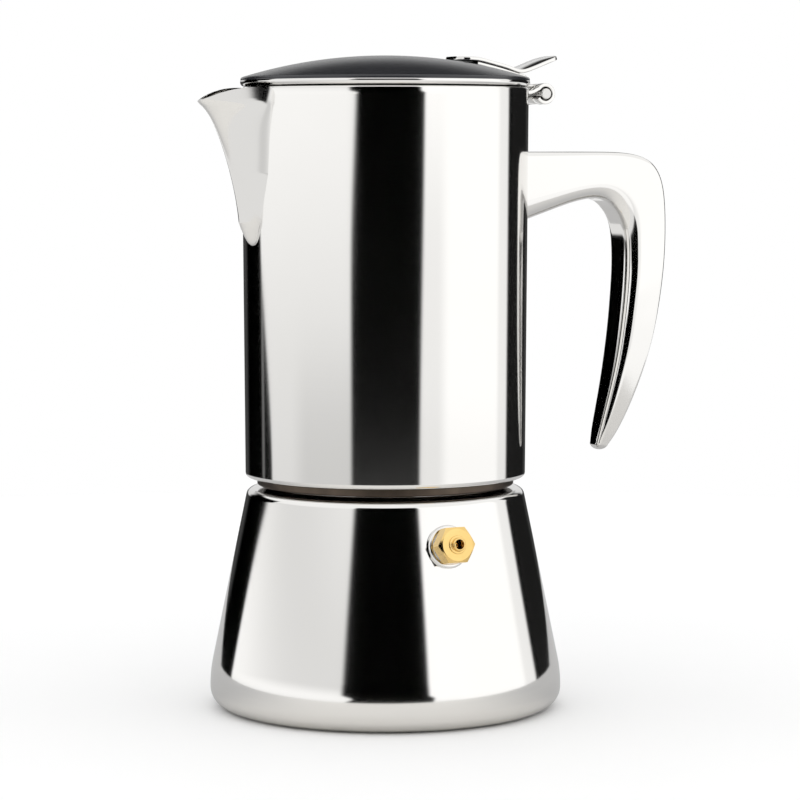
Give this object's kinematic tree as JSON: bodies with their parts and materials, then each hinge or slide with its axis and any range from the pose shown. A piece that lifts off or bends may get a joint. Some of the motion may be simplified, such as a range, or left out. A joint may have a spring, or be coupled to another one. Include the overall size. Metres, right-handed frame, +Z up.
{
  "type": "moka pot",
  "caption": "Polished steel stove-top moka pot: conical boiler with a brass valve, screw-on jug with beak spout and hook handle, hinged lid with black dome and thumb lever.",
  "frame": {"origin": "centre of the base disc's underside, on the pot's axis, at the surface the pot stands on", "axes": "+Z up along the pot's axis, the longest extent; the handle points to +X, the spout to -X and the safety valve to -Y"},
  "size_m": [0.1558, 0.1096, 0.2012],
  "materials": {
    "polished_steel": "mirror polished stainless steel",
    "brushed_steel": "satin, turned stainless steel",
    "brass": "polished brass",
    "black_plastic": "satin moulded plastic",
    "silicone": "matt translucent white silicone"
  },
  "bodies": {
    "boiler": {"boiler_shell": "polished_steel", "base_disc": "brushed_steel", "valve_boss": "polished_steel", "valve_washer": "silicone", "valve_body": "brass", "valve_spring": "brushed_steel", "valve_retainer": "brass"},
    "relief_pin": {"valve_pin": "brass"},
    "funnel": {"coffee_basket": "brushed_steel", "basket_strainer": "brushed_steel", "funnel_stem": "brushed_steel"},
    "filter": {"sealing_ring": "silicone", "filter_plate": "brushed_steel"},
    "jug": {"jug_wall": "polished_steel", "spout": "polished_steel", "jug_floor": "brushed_steel", "thread_collar": "brushed_steel", "coffee_column": "brushed_steel", "column_cap": "brushed_steel", "handle": "polished_steel", "hinge_bracket": "polished_steel", "hinge_pin": "polished_steel"},
    "lid": {"lid_disc": "polished_steel", "lid_dome": "black_plastic", "hinge_strap": "polished_steel", "thumb_lever": "polished_steel", "lid_screw_front": "brushed_steel", "lid_screw_rear": "brushed_steel"}
  },
  "joints": [
    {"name": "valve_relief", "type": "slide", "parent": "boiler", "child": "relief_pin", "axis": [0, -0.9794, 0.2018], "range_m": [0, 0.0015], "stiffness_N_per_m": 400, "springref_m": -0.001, "deforming": ["valve_spring"]},
    {"name": "funnel_lift", "type": "slide", "parent": "boiler", "child": "funnel", "axis": [0, 0, 1], "range_m": [0, 0.085]},
    {"name": "thread_rise", "type": "slide", "parent": "funnel", "child": "filter", "axis": [0, 0, 1], "range_m": [0, 0.0125]},
    {"name": "unscrew", "type": "hinge", "parent": "filter", "child": "jug", "pos_m": [0, 0, 0.08], "axis": [0, 0, 1], "range_deg": [0, 1080]},
    {"name": "lid_hinge", "type": "hinge", "parent": "jug", "child": "lid", "pos_m": [0.0512, 0, 0.1894], "axis": [0, 1, 0], "range_deg": [0, 105]}
  ],
  "couplings": [
    {"joint": "thread_rise", "follows": "unscrew", "m_per_rad": 0.00063662}
  ]
}
